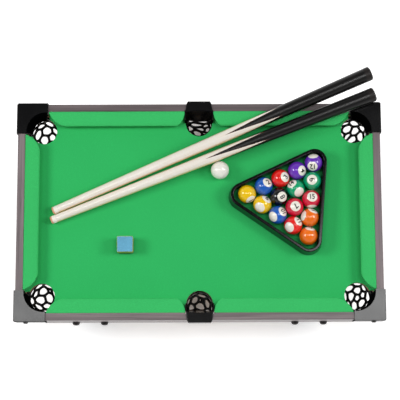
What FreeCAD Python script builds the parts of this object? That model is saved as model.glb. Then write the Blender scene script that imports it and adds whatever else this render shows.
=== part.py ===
"""Tabletop pool table, 20 x 12 inches, with its cues, triangle, chalk and balls.

Millimetres, +Z up, the foot pads on Z = 0. X runs along the table and Y across it, towards the rail that
the cues lean on. Every shape is drawn about the table's centre, and save() then moves it along Y, so
that the frame's origin is under the middle of the whole set, cue butts included.
"""

import FreeCAD, Part
import math
import os

V = FreeCAD.Vector
UP = V(0, 0, 1)

# Table, over its corner castings
TABLE_LENGTH = 508.0
TABLE_WIDTH = 305.0
HALF_LENGTH = TABLE_LENGTH / 2
HALF_WIDTH = TABLE_WIDTH / 2

# Heights above the surface that the table stands on
RAIL_TOP = 168.0
CASTING_TOP = 170.0
CLOTH_TOP = 148.0
CLOTH_THICKNESS = 1.0
BOARD_TOP = CLOTH_TOP - CLOTH_THICKNESS
BOARD_THICKNESS = 9.0
BOARD_BOTTOM = BOARD_TOP - BOARD_THICKNESS
APRON_BOTTOM = 108.0

# Aprons and bed; insets are measured inwards from the outline of the corner castings
APRON_INSET = 2.0
APRON_THICKNESS = 10.0
APRON_INNER = APRON_INSET + APRON_THICKNESS
APRON_EDGE_ROUND = 2.0
BED_GAP = 0.5

# Cushions
CUSHION_WIDTH = 20.0
CUSHION_LIFT = 0.2
CUSHION_PROFILE = ((0, CUSHION_LIFT), (8, CUSHION_LIFT), (20, 13.0), (20, 15.5), (17.5, 17.2), (0, 19.6))
CORNER_END = ((44, 12), (50.2, 23.5), (66, 32))
SIDE_END = ((20.0, 12), (22.4, 24), (31, 32))

# Corner pockets; insets of the centres from both outlines
CASTING_SIZE = 43.3
CASTING_CORNER_ROUND = 3.0
CASTING_EDGE_ROUND = 1.0
SKIRT_GAP = 0.3
SKIRT_BOTTOM = 144.0
MOUTH_INSET = 40.5
MOUTH_RADIUS = 27.0
HOLE_INSET = 36.0
HOLE_RADIUS = 18.0
LINER_WALL = 1.3
LINER_BOTTOM = 130.0
LINER_BOTTOM_RADIUS = 18.8
LINER_ARC = (175.5, 274.5)
BED_NOTCH_INSET = 38.5
BED_NOTCH_RADIUS = 25.2

# Middle pockets; insets from the long outline
SIDE_OUTER = -1.8
SIDE_HALF_OUTER = 16.6
SIDE_SHOULDER = 3.0
SIDE_SHOULDER_SPREAD = 0.7
SIDE_SHOULDER_CUT = 1.2
SIDE_EDGE_ROUND = 0.9
SIDE_HALF_INNER = 19.0
SIDE_MOUTH = 13.6
SIDE_MOUTH_MIDDLE = 11.7
SIDE_HALF_MOUTH = 18.0
SIDE_LINER_BOTTOM_HALF = 17.0
SIDE_LINER_BOTTOM_BACK = 17.5
SIDE_LINER_BOW = 0.4
SIDE_HOLE_INSET = 25.0
SIDE_HOLE_RADIUS = 18.5
SIDE_NOTCH_INSET = 10.2
SIDE_NOTCH_HALF = 20.0

# Nets
NET_WALL = 1.8
NET_RADIUS = 23.2
NET_BOTTOM = 90.0
SIDE_NET_HALF = 20.6
SIDE_NET_BACK = 12.3
SIDE_NET_SHOULDER = 110.0
SIDE_NET_FLOOR = 0.62

# Legs and their bolts
LEG_CENTRE = 152.2
LEG_HALF_TOP = 32.0
LEG_HALF_BOTTOM = 21.0
LEG_SHOULDER = 104.0
LEG_THICKNESS = 15.0
LEG_FOOT_ROUND = 5.0
LEG_EDGE_ROUND = 1.2
PAD_HEIGHT = 2.0
PAD_RADIUS = 6.0
PAD_SPACING = 26.0
BOLT_SPACING = 39.5
BOLT_HEIGHT = 128.0
BOLT_RADIUS = 3.0
BOLT_HOLE_RADIUS = 3.2
BOLT_HEAD_RADIUS = 5.2
BOLT_HEAD_HEIGHT = 4.5
SOCKET_ACROSS_FLATS = 4.0
SOCKET_DEPTH = 2.2
NUT_ACROSS_FLATS = 10.0
NUT_HEIGHT = 5.0
WASHER_RADIUS = 6.5
WASHER_THICKNESS = 1.0
BOLT_TAIL = 2.0

# Screws of the castings, and the cleats that carry the bed
SCREW_INSET = 15.5
SCREW_HEIGHT = 157.0
SCREW_HEAD_RADIUS = 3.2
SCREW_HEAD_HEIGHT = 1.8
SCREW_SLOT_HALF = 0.4
SCREW_SLOT_DEPTH = 0.7
SCREW_RADIUS = 1.4
SCREW_LENGTH = 7.0
FIT = 0.05
CLEAT_SIZE = 12.0
LONG_CLEAT = (30.0, 114.0)
SHORT_CLEAT_HALF = 84.0
CLEAT_SCREW_INSET = 14.0
CLEAT_SCREW_HEAD = 2.8
CLEAT_SCREW_REACH = 5.0

# Balls and triangle, in the order of the rows from the apex
BALL_RADIUS = 12.7
BALL_PITCH = 25.75
BALL_LIFT = 0.25
RACK_ROWS = ((1,), (2, 9), (3, 8, 10), (4, 14, 7, 11), (12, 6, 15, 13, 5))
RACK_TURN = -4.8
PACK_CENTRE = (125.5, 19.0)
PACK_SLIP = 2.9
RACK_INNER = 44.4
RACK_INNER_CORNER = 12.5
RACK_WALL_TOP = 4.4
RACK_WALL_BOTTOM = 6.8
RACK_HEIGHT = 22.0
RACK_EDGE_ROUND = 1.2
RACK_LIFT = 0.2
CUE_BALL = (29.0, 57.9)

# Cues: tip and butt in plan, from the table's centre
CUE_TIP_RADIUS = 5.5
CUE_BUTT_RADIUS = 9.9
CUE_TIP_LENGTH = 8.0
CUE_TIP_ROUND = 2.4
BUMPER_LENGTH = 9.0
BUMPER_CHAMFER = 1.6
CUE_LIFT = 0.4
UPPER_CUE = ((-204.2, 1.95), (239.8, 190.17))
LOWER_CUE = ((-206.3, -11.1), (244.6, 161.0))
UPPER_REST = (349.0, RAIL_TOP)
LOWER_REST = (440.0, CASTING_TOP)

# Chalk
CHALK_CENTRE = (-102.4, -46.0)
CHALK_SIZE = 22.0
CHALK_HEIGHT = 21.5
CHALK_LIFT = 0.2
CHALK_EDGE_ROUND = 1.2
DISH_RADIUS = 26.0
DISH_DEPTH = 1.8
LABEL_THICKNESS = 0.4
LABEL_LIFT = 0.6
LABEL_HEIGHT = 18.5

# The set reaches from the leg bolts' heads to the flat end of the upper cue's butt
UPPER_CUE_ANGLE = math.atan2(UPPER_CUE[1][1] - UPPER_CUE[0][1], UPPER_CUE[1][0] - UPPER_CUE[0][0])
FRONT_REACH = HALF_WIDTH - APRON_INSET + BOLT_HEAD_HEIGHT
BACK_REACH = UPPER_CUE[1][1] + (CUE_BUTT_RADIUS - BUMPER_CHAMFER) * math.cos(UPPER_CUE_ANGLE)
TABLE_SHIFT = V(0, (FRONT_REACH - BACK_REACH) / 2, 0)


def save(name, *shapes):
    """Writes one node: its solids, moved from the table's centre to the frame's origin."""
    solids = [solid for shape in shapes for solid in shape.Solids]
    shape = solids[0] if len(solids) == 1 else Part.makeCompound(solids)
    shape.translate(TABLE_SHIFT)
    shape.exportStep(f"parts/{name}.step")


def box(x, y, z):
    """A box from three (low, high) pairs."""
    return Part.makeBox(x[1] - x[0], y[1] - y[0], z[1] - z[0], V(x[0], y[0], z[0]))


def wire(points, z, arcs=()):
    """A closed flat outline of (x, y) points at height z. arcs maps a side's index to a point on its arc."""
    sides = []
    for i, start in enumerate(points):
        end = points[(i + 1) % len(points)]
        a, b = V(*start, z), V(*end, z)
        if i in dict(arcs):
            sides.append(Part.Arc(a, V(*dict(arcs)[i], z), b).toShape())
        else:
            sides.append(Part.LineSegment(a, b).toShape())
    return Part.Wire(sides)


def prism(outline, height):
    return Part.Face(outline).extrude(UP * height)


def four_corners(shape):
    """The shape of the +X +Y corner and its three mirror images, keyed by the corners' names."""
    back = {"back_right": shape, "back_left": shape.mirror(V(), V(1, 0, 0))}
    front = {name.replace("back", "front"): s.mirror(V(), V(0, 1, 0)) for name, s in back.items()}
    return {**back, **front}


def two_sides(shape):
    """The shape of the +Y side and its mirror image."""
    return {"back": shape, "front": shape.mirror(V(), V(0, 1, 0))}


def from_corner(u, v):
    """The plan point u inside the right outline and v inside the back outline."""
    return (HALF_LENGTH - u, HALF_WIDTH - v)


def polar(centre, radius, degrees):
    """A plan point by insets: the centre's insets, and an angle that grows from +X inset towards +Y inset."""
    a = math.radians(degrees)
    return from_corner(centre + radius * math.cos(a), centre + radius * math.sin(a))


def sector_wire(centre, inner, outer, z):
    """The outline of a pocket liner's wall: two arcs about one centre, and the two ends between them."""
    first, last = LINER_ARC
    middle = (first + last) / 2
    ends = (
        polar(centre, inner, first),
        polar(centre, inner, last),
        polar(centre, outer, last),
        polar(centre, outer, first),
    )
    return wire(ends, z, {0: polar(centre, inner, middle), 2: polar(centre, outer, middle)})


def hole_at(u, v, radius, z):
    """A vertical cylinder, by its centre's insets."""
    x, y = from_corner(u, v)
    return Part.makeCylinder(radius, z[1] - z[0], V(x, y, z[0]))


def corner_block(z):
    """The square in plan that a corner casting covers."""
    return box((HALF_LENGTH - CASTING_SIZE, HALF_LENGTH), (HALF_WIDTH - CASTING_SIZE, HALF_WIDTH), z)


def edge_lies(edge, x=None, y=None, z=None):
    """True if every end of the edge has the given coordinates."""
    want = ((0, x), (1, y), (2, z))
    points = [v.Point for v in edge.Vertexes]
    return all(abs(p[i] - value) < 1e-6 for p in points for i, value in want if value is not None)


def corner_casting():
    block = corner_block((SKIRT_BOTTOM, CASTING_TOP))
    upright = [e for e in block.Edges if edge_lies(e, x=HALF_LENGTH, y=HALF_WIDTH)]
    block = block.makeFillet(CASTING_CORNER_ROUND, upright)
    inside = [HALF_LENGTH - CASTING_SIZE, HALF_WIDTH - CASTING_SIZE]
    rim = [
        e
        for e in block.Edges
        if edge_lies(e, z=CASTING_TOP)
        and not edge_lies(e, x=inside[0])
        and not edge_lies(e, y=inside[1])
    ]
    block = block.makeFillet(CASTING_EDGE_ROUND, rim)
    hollow = box(
        (inside[0] - 1, HALF_LENGTH - APRON_INSET + SKIRT_GAP),
        (inside[1] - 1, HALF_WIDTH - APRON_INSET + SKIRT_GAP),
        (SKIRT_BOTTOM - 1, RAIL_TOP),
    )
    block = block.cut(hollow)
    block = block.cut(hole_at(MOUTH_INSET, MOUTH_INSET, MOUTH_RADIUS, (RAIL_TOP - 1, CASTING_TOP + 1)))
    liner = Part.makeLoft(
        [
            sector_wire(MOUTH_INSET, MOUTH_RADIUS, MOUTH_RADIUS + LINER_WALL, RAIL_TOP),
            sector_wire(
                HOLE_INSET, LINER_BOTTOM_RADIUS, LINER_BOTTOM_RADIUS + LINER_WALL, LINER_BOTTOM
            ),
        ],
        True,
        True,
    )
    x, _ = from_corner(SCREW_INSET, 0)
    bore = Part.makeCylinder(SCREW_RADIUS + FIT, 6, V(x, HALF_WIDTH - 5, SCREW_HEIGHT), V(0, 1, 0))
    return block.fuse(liner).removeSplitter().cut(bore)


def side_mouth(half, sides, middle, z):
    """The outline of a middle pocket's inside: open towards the table, with a shallow arc at its back."""
    y = HALF_WIDTH - SIDE_HOLE_INSET
    back = HALF_WIDTH - sides
    points = ((-half, y), (half, y), (half, back), (-half, back))
    return wire(points, z, {2: (0, HALF_WIDTH - middle)})


def side_casting():
    outer = HALF_WIDTH - SIDE_OUTER
    inner = HALF_WIDTH - SIDE_MOUTH
    wide = SIDE_HALF_OUTER + SIDE_SHOULDER_SPREAD
    narrow = SIDE_HALF_OUTER - SIDE_SHOULDER_CUT
    plate_outline = wire(
        (
            (-SIDE_HALF_INNER, inner),
            (SIDE_HALF_INNER, inner),
            (wide, outer - SIDE_SHOULDER),
            (narrow, outer),
            (-narrow, outer),
            (-wide, outer - SIDE_SHOULDER),
        ),
        SKIRT_BOTTOM,
        {0: (0, HALF_WIDTH - SIDE_MOUTH_MIDDLE)},
    )
    block = prism(plate_outline, CASTING_TOP - SKIRT_BOTTOM)
    top = [
        e
        for e in block.Edges
        if edge_lies(e, z=CASTING_TOP) and not edge_lies(e, y=inner)
    ]
    block = block.makeFillet(SIDE_EDGE_ROUND, top)
    hollow = box(
        (-SIDE_HALF_INNER - 1, SIDE_HALF_INNER + 1),
        (inner - 1, HALF_WIDTH - APRON_INSET + SKIRT_GAP),
        (SKIRT_BOTTOM - 1, RAIL_TOP),
    )
    block = block.cut(hollow)
    top_back, low_back = SIDE_MOUTH, SIDE_LINER_BOTTOM_BACK
    half, low_half = SIDE_HALF_MOUTH, SIDE_LINER_BOTTOM_HALF
    wall = LINER_WALL
    outside = Part.makeLoft(
        [
            side_mouth(half + wall, top_back - wall, SIDE_MOUTH_MIDDLE - wall, RAIL_TOP),
            side_mouth(low_half + wall, low_back - wall, low_back - wall - SIDE_LINER_BOW, LINER_BOTTOM),
        ],
        True,
        True,
    )
    inside = Part.makeLoft(
        [
            side_mouth(half, top_back, SIDE_MOUTH_MIDDLE, RAIL_TOP),
            side_mouth(low_half, low_back, low_back - SIDE_LINER_BOW, LINER_BOTTOM),
        ],
        True,
        True,
    )
    return block.fuse(outside.cut(inside)).removeSplitter()


def pocket_cuts(z, notch):
    """What the bed loses at its six pockets: the holes, and the room behind them for the liners."""
    corner = hole_at(HOLE_INSET, HOLE_INSET, HOLE_RADIUS, z)
    room = hole_at(BED_NOTCH_INSET, BED_NOTCH_INSET, notch, z)
    corner = corner.fuse(room.common(corner_block(z)))
    y = HALF_WIDTH - SIDE_HOLE_INSET
    side = Part.makeCylinder(SIDE_HOLE_RADIUS, z[1] - z[0], V(0, y, z[0]))
    back = box((-SIDE_NOTCH_HALF, SIDE_NOTCH_HALF), (y, HALF_WIDTH), z)
    return [*four_corners(corner).values(), *two_sides(side.fuse(back)).values()]


def bed(z):
    x = HALF_LENGTH - APRON_INNER - BED_GAP
    y = HALF_WIDTH - APRON_INNER - BED_GAP
    return box((-x, x), (-y, y), z).cut(pocket_cuts((z[0] - 1, z[1] + 1), BED_NOTCH_RADIUS))


def bolt_positions():
    """The leg bolts' X, from left to right."""
    return [
        side * (LEG_CENTRE + offset)
        for side in (-1, 1)
        for offset in (-BOLT_SPACING / 2, BOLT_SPACING / 2)
    ]


def cross_hole(x, z, radius, reach):
    """A hole along Y through the back side, from its outside inwards."""
    return Part.makeCylinder(radius, reach, V(x, HALF_WIDTH + 1, z), V(0, -1, 0))


def long_apron():
    x = HALF_LENGTH - APRON_INSET
    y = (HALF_WIDTH - APRON_INNER, HALF_WIDTH - APRON_INSET)
    apron = box((-x, x), y, (APRON_BOTTOM, RAIL_TOP))
    foot = [e for e in apron.Edges if edge_lies(e, z=APRON_BOTTOM) and edge_lies(e, y=y[1])]
    apron = apron.makeFillet(APRON_EDGE_ROUND, foot)
    cuts = [cross_hole(b, BOLT_HEIGHT, BOLT_HOLE_RADIUS, 14) for b in bolt_positions()]
    for side in (-1, 1):
        screw_x = side * (HALF_LENGTH - SCREW_INSET)
        cuts.append(cross_hole(screw_x, SCREW_HEIGHT, SCREW_RADIUS + FIT, 3 + SCREW_LENGTH))
    notch_y = (y[0] - 1, HALF_WIDTH - SIDE_NOTCH_INSET)
    cuts.append(box((-SIDE_NOTCH_HALF, SIDE_NOTCH_HALF), notch_y, (LINER_BOTTOM - 2, RAIL_TOP + 1)))
    return apron.cut(cuts)


def short_apron():
    x = (HALF_LENGTH - APRON_INNER, HALF_LENGTH - APRON_INSET)
    y = HALF_WIDTH - APRON_INNER
    apron = box(x, (-y, y), (APRON_BOTTOM, RAIL_TOP))
    foot = [e for e in apron.Edges if edge_lies(e, z=APRON_BOTTOM) and edge_lies(e, x=x[1])]
    return apron.makeFillet(APRON_EDGE_ROUND, foot)


def cushion_bar(length):
    """A bar of the cushion's section, along X from 0, its back on Y = 0 and its nose towards -Y."""
    points = [V(0, -w, CLOTH_TOP + h) for w, h in CUSHION_PROFILE]
    face = Part.Face(Part.makePolygon([*points, points[0]]))
    return face.extrude(V(length, 0, 0))


def long_cushion():
    """The back right cushion, from the middle pocket to the corner."""
    bar = cushion_bar(TABLE_LENGTH)
    bar.translate(V(0, HALF_WIDTH - APRON_INNER, 0))
    corner = [from_corner(u, v) for u, v in CORNER_END]
    side = [(u, HALF_WIDTH - v) for u, v in SIDE_END]
    outline = wire((side[0], corner[0], corner[2], side[2]), CLOTH_TOP, {1: corner[1], 3: side[1]})
    return bar.common(prism(outline, 30))


def short_cushion():
    """The right cushion, between its two corner pockets."""
    bar = cushion_bar(TABLE_LENGTH)
    bar.translate(V(-HALF_LENGTH, 0, 0))
    bar.rotate(V(), UP, -90)
    bar.translate(V(HALF_LENGTH - APRON_INNER, 0, 0))
    back, bend, nose = [from_corner(v, u) for u, v in CORNER_END]
    outline = wire(
        (back, nose, (nose[0], -nose[1]), (back[0], -back[1])),
        CLOTH_TOP,
        {0: bend, 2: (bend[0], -bend[1])},
    )
    return bar.common(prism(outline, 30))


def corner_net():
    """A round bag under the back right pocket, open at the top."""
    x, y = from_corner(HOLE_INSET, HOLE_INSET)
    turn = NET_BOTTOM + NET_RADIUS

    def bag(radius, top):
        ball = Part.makeSphere(radius, V(x, y, turn))
        return Part.makeCylinder(radius, top - turn, V(x, y, turn)).fuse(ball)

    return bag(NET_RADIUS, BOARD_BOTTOM).cut(bag(NET_RADIUS - NET_WALL, BOARD_BOTTOM + 1))


def side_net():
    """The bag under the back middle pocket, flat at its back and open at the top."""
    centre = HALF_WIDTH - SIDE_HOLE_INSET

    def ring(wall, shrink, z):
        half = (SIDE_NET_HALF - wall) * shrink
        middle = centre + 2
        back = middle + (HALF_WIDTH - SIDE_NET_BACK - wall - middle) * shrink
        points = ((half, middle), (half, back), (-half, back), (-half, middle))
        return wire(points, z, {3: (0, middle - half)})

    def bag(wall, top, floor):
        upper = prism(ring(wall, 1, SIDE_NET_SHOULDER), top - SIDE_NET_SHOULDER)
        lower = Part.makeLoft(
            [ring(wall, 1, SIDE_NET_SHOULDER), ring(wall, SIDE_NET_FLOOR, floor)], True, True
        )
        return upper.fuse(lower).removeSplitter()

    return bag(0, BOARD_BOTTOM, NET_BOTTOM).cut(bag(NET_WALL, BOARD_BOTTOM + 1, NET_BOTTOM + NET_WALL))


def leg():
    """The back right leg, a tapered board inside the long apron."""
    y = HALF_WIDTH - APRON_INNER
    points = (
        (LEG_CENTRE - LEG_HALF_TOP, BOARD_BOTTOM),
        (LEG_CENTRE + LEG_HALF_TOP, BOARD_BOTTOM),
        (LEG_CENTRE + LEG_HALF_TOP, LEG_SHOULDER),
        (LEG_CENTRE + LEG_HALF_BOTTOM, PAD_HEIGHT),
        (LEG_CENTRE - LEG_HALF_BOTTOM, PAD_HEIGHT),
        (LEG_CENTRE - LEG_HALF_TOP, LEG_SHOULDER),
    )
    corners = [V(x, y, z) for x, z in points]
    board = Part.Face(Part.makePolygon([*corners, corners[0]])).extrude(V(0, -LEG_THICKNESS, 0))
    feet = [e for e in board.Edges if edge_lies(e, z=PAD_HEIGHT) and e.Length < LEG_THICKNESS + 1]
    board = board.makeFillet(LEG_FOOT_ROUND, feet)
    rim = [e for e in board.Edges if edge_lies(e, y=y - LEG_THICKNESS) and not edge_lies(e, z=BOARD_BOTTOM)]
    board = board.makeFillet(LEG_EDGE_ROUND, rim)
    holes = [cross_hole(x, BOLT_HEIGHT, BOLT_HOLE_RADIUS, 40) for x in bolt_positions()[2:]]
    return board.cut(holes)


def foot_pads():
    """The two pads under the back right leg."""
    y = HALF_WIDTH - APRON_INNER - LEG_THICKNESS / 2
    return [
        Part.makeCylinder(PAD_RADIUS, PAD_HEIGHT, V(LEG_CENTRE + offset, y, 0))
        for offset in (-PAD_SPACING / 2, PAD_SPACING / 2)
    ]


def dome_head(radius, height, shank_radius, shank_length):
    """A domed head on Y = 0 that stands out along +Y, with its shank along -Y."""
    flat = 0.8
    crown = 0.45 * radius
    outline = [
        Part.LineSegment(V(0, -shank_length, 0), V(shank_radius, -shank_length, 0)).toShape(),
        Part.LineSegment(V(shank_radius, -shank_length, 0), V(shank_radius, 0, 0)).toShape(),
        Part.LineSegment(V(shank_radius, 0, 0), V(radius, 0, 0)).toShape(),
        Part.LineSegment(V(radius, 0, 0), V(radius, flat, 0)).toShape(),
        Part.Arc(V(radius, flat, 0), V(0.86 * radius, 0.72 * height, 0), V(crown, height, 0)).toShape(),
        Part.LineSegment(V(crown, height, 0), V(0, height, 0)).toShape(),
        Part.LineSegment(V(0, height, 0), V(0, -shank_length, 0)).toShape(),
    ]
    return Part.Face(Part.Wire(outline)).revolve(V(), V(0, 1, 0), 360)


def leg_bolt(x):
    """A domed bolt through the back apron and a leg, with a hexagon socket in its head."""
    grip = APRON_THICKNESS + LEG_THICKNESS + WASHER_THICKNESS + NUT_HEIGHT + BOLT_TAIL
    bolt = dome_head(BOLT_HEAD_RADIUS, BOLT_HEAD_HEIGHT, BOLT_RADIUS, grip)
    bolt.translate(V(x, HALF_WIDTH - APRON_INSET, BOLT_HEIGHT))
    spare = 0.2
    socket = hexagon(SOCKET_ACROSS_FLATS, SOCKET_DEPTH + spare)
    socket.translate(V(x, HALF_WIDTH - APRON_INSET + BOLT_HEAD_HEIGHT + spare, BOLT_HEIGHT))
    return bolt.cut(socket)


def hexagon(across_flats, length):
    """A hexagonal bar that runs from Y = 0 along -Y."""
    radius = across_flats / math.sqrt(3)
    corners = [
        V(radius * math.cos(math.radians(a)), 0, radius * math.sin(math.radians(a)))
        for a in range(0, 360, 60)
    ]
    return Part.Face(Part.makePolygon([*corners, corners[0]])).extrude(V(0, -length, 0))


def leg_nut(x):
    """A nut and its washer, in one piece, on the inner face of a leg."""
    y = HALF_WIDTH - APRON_INNER - LEG_THICKNESS
    washer = Part.makeCylinder(WASHER_RADIUS, WASHER_THICKNESS, V(x, y, BOLT_HEIGHT), V(0, -1, 0))
    nut = hexagon(NUT_ACROSS_FLATS, NUT_HEIGHT)
    nut.translate(V(x, y - WASHER_THICKNESS, BOLT_HEIGHT))
    bore = Part.makeCylinder(BOLT_RADIUS + FIT, 20, V(x, y + 1, BOLT_HEIGHT), V(0, -1, 0))
    return washer.fuse(nut).cut(bore)


def casting_screw():
    """The screw of the back right casting, driven along -Y into the long apron."""
    screw = dome_head(SCREW_HEAD_RADIUS, SCREW_HEAD_HEIGHT, SCREW_RADIUS, SCREW_LENGTH)
    screw.translate(V(HALF_LENGTH - SCREW_INSET, HALF_WIDTH, SCREW_HEIGHT))
    long = (-SCREW_HEAD_RADIUS, SCREW_HEAD_RADIUS)
    narrow = (-SCREW_SLOT_HALF, SCREW_SLOT_HALF)
    deep = (SCREW_HEAD_HEIGHT - SCREW_SLOT_DEPTH, SCREW_HEAD_HEIGHT + 1)
    slot = box(long, deep, narrow).fuse(box(narrow, deep, long))
    slot.translate(V(HALF_LENGTH - SCREW_INSET, HALF_WIDTH, SCREW_HEIGHT))
    return screw.cut(slot)


def cleat_screw(x, y):
    """A countersunk screw up through a cleat into the bed board."""
    z = BOARD_BOTTOM - CLEAT_SIZE
    length = CLEAT_SIZE + CLEAT_SCREW_REACH
    depth = CLEAT_SCREW_HEAD - SCREW_RADIUS
    head = Part.makeCone(CLEAT_SCREW_HEAD, SCREW_RADIUS, depth, V(x, y, z))
    return head.fuse(Part.makeCylinder(SCREW_RADIUS, length, V(x, y, z))).removeSplitter()


def screw_room(x, y):
    """The hole that a cleat screw needs, with a small gap all round."""
    z = BOARD_BOTTOM - CLEAT_SIZE
    length = CLEAT_SIZE + CLEAT_SCREW_REACH + FIT
    depth = CLEAT_SCREW_HEAD - SCREW_RADIUS
    head = Part.makeCone(CLEAT_SCREW_HEAD + FIT, SCREW_RADIUS + FIT, depth, V(x, y, z))
    return head.fuse(Part.makeCylinder(SCREW_RADIUS + FIT, length, V(x, y, z)))


def cleat_layout():
    """The plan boxes of the six cleats, and the plan points of their screws."""
    long_y = (HALF_WIDTH - APRON_INNER - CLEAT_SIZE, HALF_WIDTH - APRON_INNER)
    short_x = (HALF_LENGTH - APRON_INNER - CLEAT_SIZE, HALF_LENGTH - APRON_INNER)
    start, end = LONG_CLEAT
    first, last = start + CLEAT_SCREW_INSET, end - CLEAT_SCREW_INSET
    short_screw = SHORT_CLEAT_HALF - CLEAT_SCREW_INSET
    boxes, screws = [], []
    for sx in (-1, 1):
        for sy in (-1, 1):
            boxes.append((sorted((sx * start, sx * end)), sorted(sy * y for y in long_y)))
            screws += [(sx * x, sy * sum(long_y) / 2) for x in (first, last)]
        boxes.append((sorted(sx * x for x in short_x), (-SHORT_CLEAT_HALF, SHORT_CLEAT_HALF)))
        screws += [(sx * sum(short_x) / 2, y) for y in (-short_screw, short_screw)]
    return boxes, screws


def rack_outline(inradius, corner, z):
    """A rounded equilateral triangle, its apex towards -X, by the inradius of its straight sides."""
    points, arcs = [], {}
    for i in range(3):
        axis = math.radians(180 + 120 * i)
        reach = 2 * (inradius - corner)
        centre = (reach * math.cos(axis), reach * math.sin(axis))
        for side in (-60, 60):
            a = axis + math.radians(side)
            points.append((centre[0] + corner * math.cos(a), centre[1] + corner * math.sin(a)))
        arcs[2 * i] = (centre[0] + corner * math.cos(axis), centre[1] + corner * math.sin(axis))
    return wire(points, z, arcs)


def rack_centre():
    """The pack lies against two sides of the triangle, which therefore stands out past the third."""
    a = math.radians(RACK_TURN - 120)
    return V(PACK_CENTRE[0] + PACK_SLIP * math.cos(a), PACK_CENTRE[1] + PACK_SLIP * math.sin(a), 0)


def rack():
    low = CLOTH_TOP + RACK_LIFT
    high = low + RACK_HEIGHT
    outer = Part.makeLoft(
        [
            rack_outline(RACK_INNER + RACK_WALL_BOTTOM, RACK_INNER_CORNER + RACK_WALL_BOTTOM, low),
            rack_outline(RACK_INNER + RACK_WALL_TOP, RACK_INNER_CORNER + RACK_WALL_TOP, high),
        ],
        True,
        True,
    )
    hollow = prism(rack_outline(RACK_INNER, RACK_INNER_CORNER, low - 1), RACK_HEIGHT + 2)
    frame = outer.cut(hollow)
    rim = [e for e in frame.Edges if edge_lies(e, z=high)]
    frame = frame.makeFillet(RACK_EDGE_ROUND, rim)
    frame.rotate(V(), UP, RACK_TURN)
    frame.translate(rack_centre())
    return frame


def ball_at(x, y):
    return Part.makeSphere(BALL_RADIUS, V(x, y, CLOTH_TOP + BALL_LIFT + BALL_RADIUS))


def racked_balls():
    """The fifteen object balls by number, five rows from the apex at -X."""
    row_step = BALL_PITCH * math.sqrt(3) / 2
    turn = math.radians(RACK_TURN)
    balls = {}
    for row, numbers in enumerate(RACK_ROWS):
        x = (row - 8 / 3) * row_step
        for place, number in enumerate(numbers):
            y = (row / 2 - place) * BALL_PITCH
            balls[number] = ball_at(
                PACK_CENTRE[0] + x * math.cos(turn) - y * math.sin(turn),
                PACK_CENTRE[1] + x * math.sin(turn) + y * math.cos(turn),
            )
    return balls


def cue(ends, rest):
    """A cue's shaft, tip and bumper. It leans on an edge at rest: how far from its tip, and how high."""
    (x0, y0), (x1, y1) = ends
    along, height = rest
    length = math.hypot(x1 - x0, y1 - y0)
    radius = CUE_TIP_RADIUS + (CUE_BUTT_RADIUS - CUE_TIP_RADIUS) * along / length
    start = V(x0, y0, CLOTH_TOP + CUE_LIFT + CUE_TIP_RADIUS)
    rise = (height + CUE_LIFT + radius - start.z) / along
    axis = V(x1 - x0, y1 - y0, rise * length)
    axis.normalize()
    tip_base = start + axis * CUE_TIP_LENGTH
    shaft_length = length - CUE_TIP_LENGTH - BUMPER_LENGTH
    shaft = Part.makeCone(CUE_TIP_RADIUS, CUE_BUTT_RADIUS, shaft_length, tip_base, axis)
    tip = Part.makeCylinder(CUE_TIP_RADIUS, CUE_TIP_LENGTH, start, axis)
    tip = tip.makeFillet(CUE_TIP_ROUND, [e for e in tip.Edges if is_round_end(e, start)])
    bumper_base = tip_base + axis * shaft_length
    bumper = Part.makeCylinder(CUE_BUTT_RADIUS, BUMPER_LENGTH, bumper_base, axis)
    bumper_end = bumper_base + axis * BUMPER_LENGTH
    bumper = bumper.makeChamfer(BUMPER_CHAMFER, [e for e in bumper.Edges if is_round_end(e, bumper_end)])
    return {"shaft": shaft, "tip": tip, "bumper": bumper}


def is_round_end(edge, centre):
    """True for the circle about the given point."""
    return isinstance(edge.Curve, Part.Circle) and edge.Curve.Center.distanceToPoint(centre) < 1e-6


def rounded_square(half, corner, z, height):
    block = box((-half, half), (-half, half), (z, z + height))
    upright = [e for e in block.Edges if abs(e.Vertexes[0].Point.z - e.Vertexes[1].Point.z) > 1]
    block = block.makeFillet(corner, upright)
    block.translate(V(*CHALK_CENTRE, 0))
    return block


def chalk():
    """The cube, with a dish worn in its top, and the paper round its sides."""
    z = CLOTH_TOP + CHALK_LIFT
    half = CHALK_SIZE / 2
    block = rounded_square(half - LABEL_THICKNESS, CHALK_EDGE_ROUND, z, CHALK_HEIGHT)
    dish = Part.makeSphere(DISH_RADIUS, V(*CHALK_CENTRE, z + CHALK_HEIGHT + DISH_RADIUS - DISH_DEPTH))
    label = rounded_square(half, CHALK_EDGE_ROUND + LABEL_THICKNESS, z + LABEL_LIFT, LABEL_HEIGHT)
    return block.cut(dish), label.cut(block)


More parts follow.
